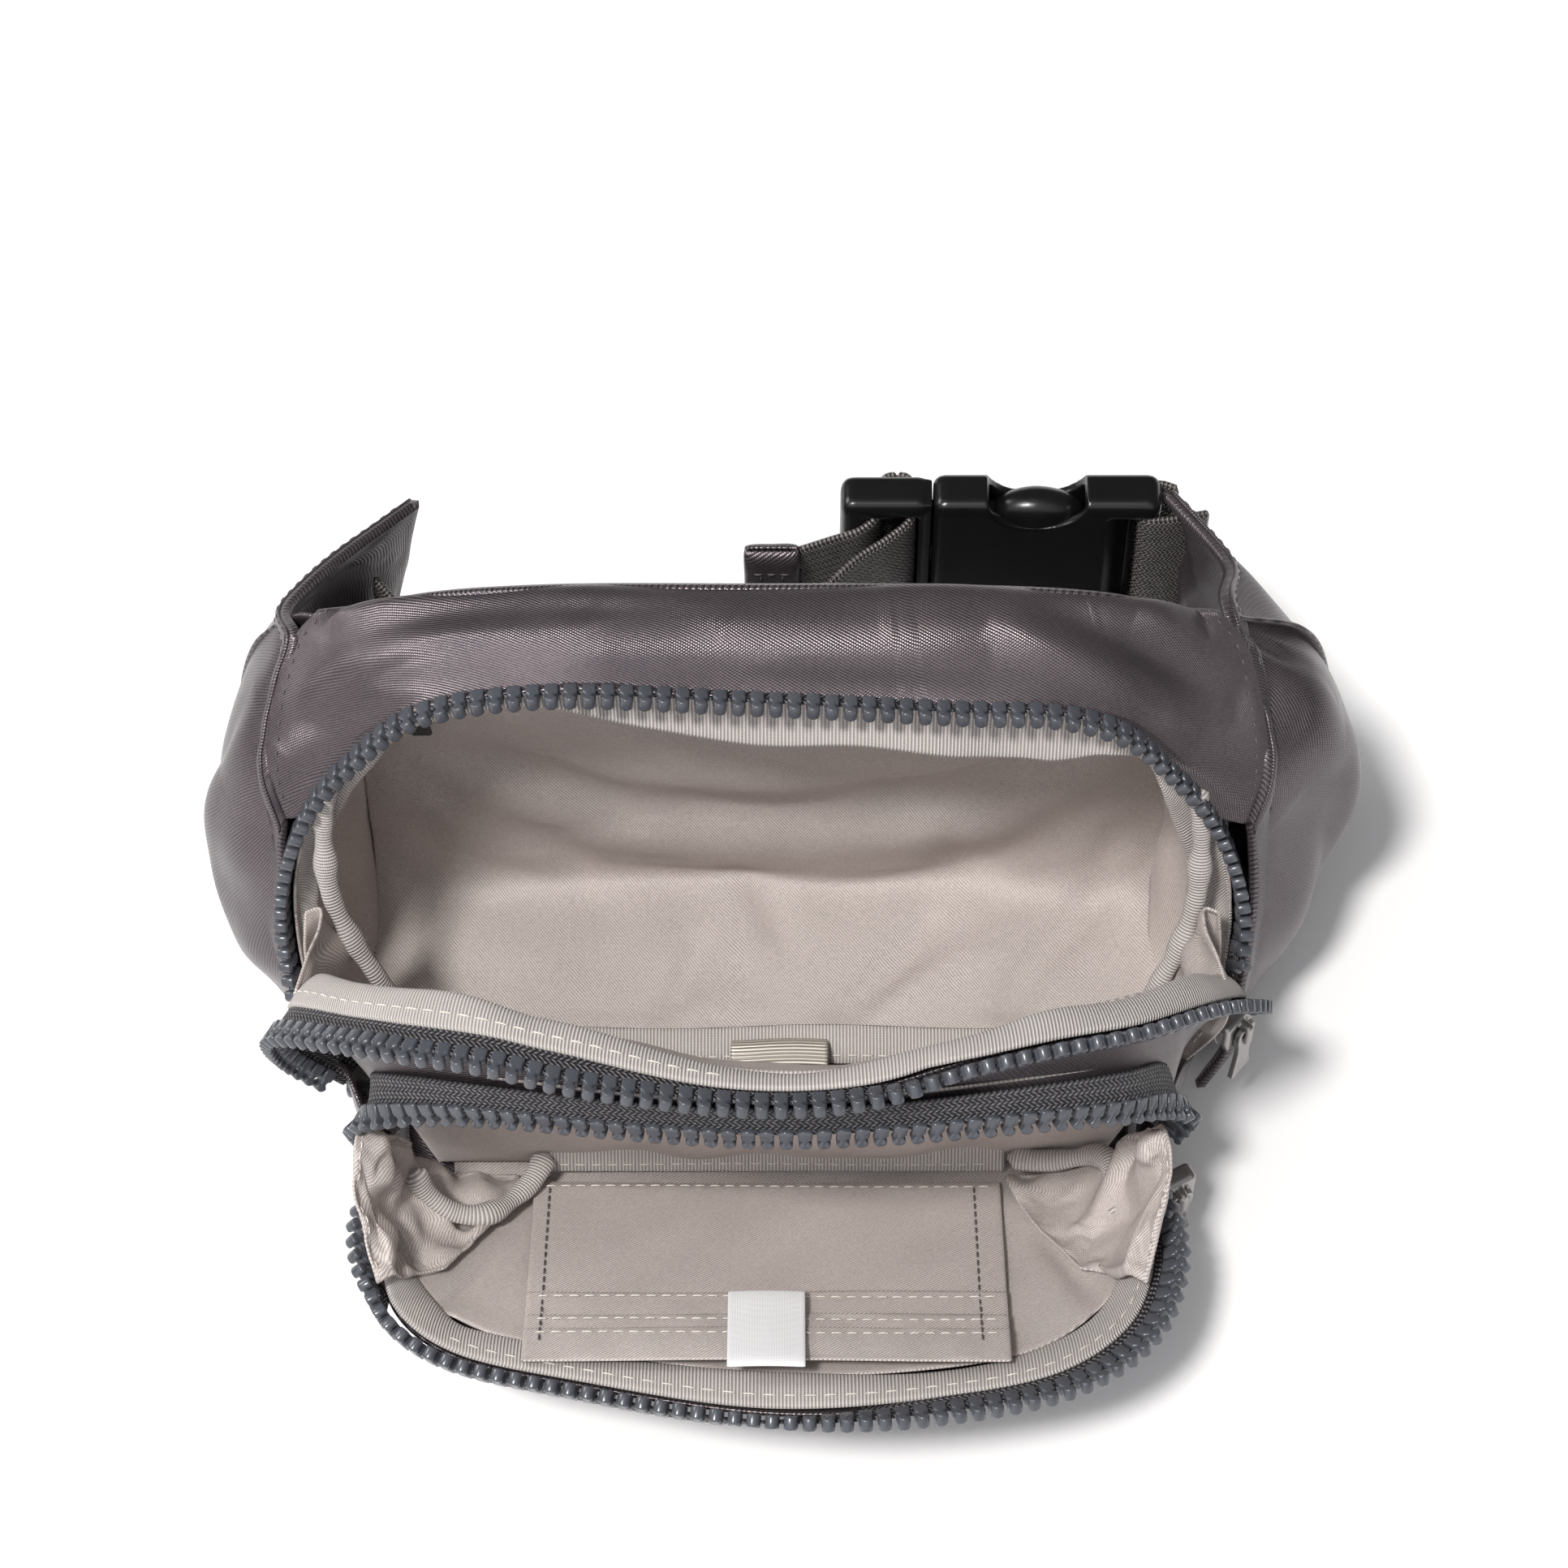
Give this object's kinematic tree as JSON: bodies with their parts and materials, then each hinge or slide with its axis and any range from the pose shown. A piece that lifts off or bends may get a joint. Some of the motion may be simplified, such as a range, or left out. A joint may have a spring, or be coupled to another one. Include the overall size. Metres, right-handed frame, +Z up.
{
  "type": "money belt",
  "caption": "Waist bag with a main and a front compartment, moulded-tooth zips standing open, card slots inside, padded side wings and a webbing belt with a side-release buckle.",
  "frame": {"origin": "underside of the bag's base, in the middle of its length, under the back panel's front face", "axes": "+X along the bag towards the buckle's fixed half, +Y towards the wearer, +Z up; the bag stands on Z = 0 and its compartments open towards -Y"},
  "size_m": [0.27, 0.2227, 0.1294],
  "materials": {
    "shell_twill": "shiny nylon twill, taupe grey, soft diagonal weave",
    "lining": "matte polyester taffeta, warm beige grey",
    "ribbed_ribbon": "ribbed grosgrain binding, pale beige grey",
    "zip_teeth": "moulded acetal teeth, blue grey, satin gloss",
    "zip_tape": "woven herringbone tape, dark grey",
    "webbing": "thick woven nylon webbing, mid grey, slight sheen",
    "buckle_plastic": "satin black acetal",
    "slider_metal": "satin grey enamelled zinc",
    "metallic_ribbon": "metallic champagne ribbon",
    "woven_label": "white woven satin",
    "leash_tape": "black flat elastic tape"
  },
  "bodies": {
    "rear_body": {"base_panel": "shell_twill", "back_panel": "shell_twill", "main_lining": "lining", "top_band": "shell_twill", "wing_left": "shell_twill", "wing_right": "shell_twill", "rear_zip_chain": "zip_teeth", "rear_zip_tape": "zip_tape", "rear_binding": "ribbed_ribbon", "side_gusset_left": "lining", "side_gusset_right": "lining", "base_binding": "ribbed_ribbon", "ribbon_tag": "metallic_ribbon", "webbing_right": "webbing", "webbing_left": "webbing", "buckle_female": "buckle_plastic", "main_zip_stop": "zip_teeth"},
    "front_compartment": {"front_zip_chain": "zip_teeth", "front_zip_tape": "zip_tape", "front_binding": "ribbed_ribbon", "divider_panel": "lining", "middle_band": "shell_twill", "pocket_zip_chain": "zip_teeth", "pocket_zip_tape": "zip_tape", "pocket_side_left": "shell_twill", "pocket_side_right": "shell_twill", "pocket_base": "shell_twill", "pocket_back": "lining", "pocket_seam_binding": "ribbed_ribbon", "pocket_gusset_left": "lining", "pocket_gusset_right": "lining", "pocket_zip_stop": "zip_teeth"},
    "pocket_flap": {"flap_zip_chain": "zip_teeth", "flap_zip_tape": "zip_tape", "flap_binding": "ribbed_ribbon", "front_panel": "shell_twill", "flap_lining": "lining", "card_panel": "lining", "card_slot_lower": "lining", "card_slot_middle": "lining", "card_slot_upper": "lining", "care_label": "woven_label"},
    "buckle_male": {"buckle_male": "buckle_plastic", "webbing_tail": "webbing", "tail_cap": "shell_twill"},
    "prong_upper": {"prong_upper": "buckle_plastic"},
    "prong_lower": {"prong_lower": "buckle_plastic"},
    "main_slider": {"main_slider": "slider_metal"},
    "main_pull": {"main_pull": "slider_metal"},
    "pocket_slider": {"pocket_slider": "slider_metal"},
    "pocket_pull": {"pocket_pull": "slider_metal"},
    "key_leash": {"key_leash": "leash_tape"}
  },
  "joints": [
    {"name": "main_fold", "type": "hinge", "parent": "rear_body", "child": "front_compartment", "pos_m": [0, -0.046, 0.004], "axis": [-1, 0, 0], "range_deg": [0, 43], "deforming": ["front_zip_chain", "front_zip_tape", "front_binding", "middle_band", "side_gusset_left", "side_gusset_right", "rear_binding", "rear_zip_chain", "rear_zip_tape", "base_binding", "ribbon_tag"]},
    {"name": "pocket_fold", "type": "hinge", "parent": "front_compartment", "child": "pocket_flap", "pos_m": [0, -0.078, 0.004], "axis": [-1, 0, 0], "range_deg": [0, 40], "deforming": ["pocket_zip_chain", "pocket_zip_tape", "flap_zip_chain", "flap_zip_tape", "flap_binding", "pocket_gusset_left", "pocket_gusset_right"]},
    {"name": "buckle_release", "type": "slide", "parent": "rear_body", "child": "buckle_male", "axis": [-1, 0, 0], "range_m": [0, 0.04], "deforming": ["webbing_left"]},
    {"name": "prong_upper_flex", "type": "hinge", "parent": "buckle_male", "child": "prong_upper", "pos_m": [0.0405, 0.0525, 0.0865], "axis": [0, 1, 0], "range_deg": [0, 6], "stiffness_Nm_per_rad": 0.05},
    {"name": "prong_lower_flex", "type": "hinge", "parent": "buckle_male", "child": "prong_lower", "pos_m": [0.0405, 0.0525, 0.0545], "axis": [0, -1, 0], "range_deg": [0, 6], "stiffness_Nm_per_rad": 0.05},
    {"name": "main_slider_run", "type": "slide", "parent": "rear_body", "child": "main_slider", "axis": [0.2996, 0.0999, 0.9488], "range_m": [0, 0.006]},
    {"name": "main_pull_swing", "type": "hinge", "parent": "main_slider", "child": "main_pull", "pos_m": [0.11067, -0.05976, 0.0407], "axis": [-0.6448, -0.7643, 0], "range_deg": [0, 100]},
    {"name": "pocket_slider_run", "type": "slide", "parent": "front_compartment", "child": "pocket_slider", "axis": [0, 0, 1], "range_m": [0, 0.005]},
    {"name": "pocket_pull_swing", "type": "hinge", "parent": "pocket_slider", "child": "pocket_pull", "pos_m": [0.09568, -0.09407, 0.0237], "axis": [-0.8776, -0.4794, 0], "range_deg": [0, 100]},
    {"name": "key_leash_swing", "type": "hinge", "parent": "rear_body", "child": "key_leash", "pos_m": [-0.08, -0.0026, 0.0945], "axis": [-1, 0, 0], "range_deg": [0, 15]}
  ]
}
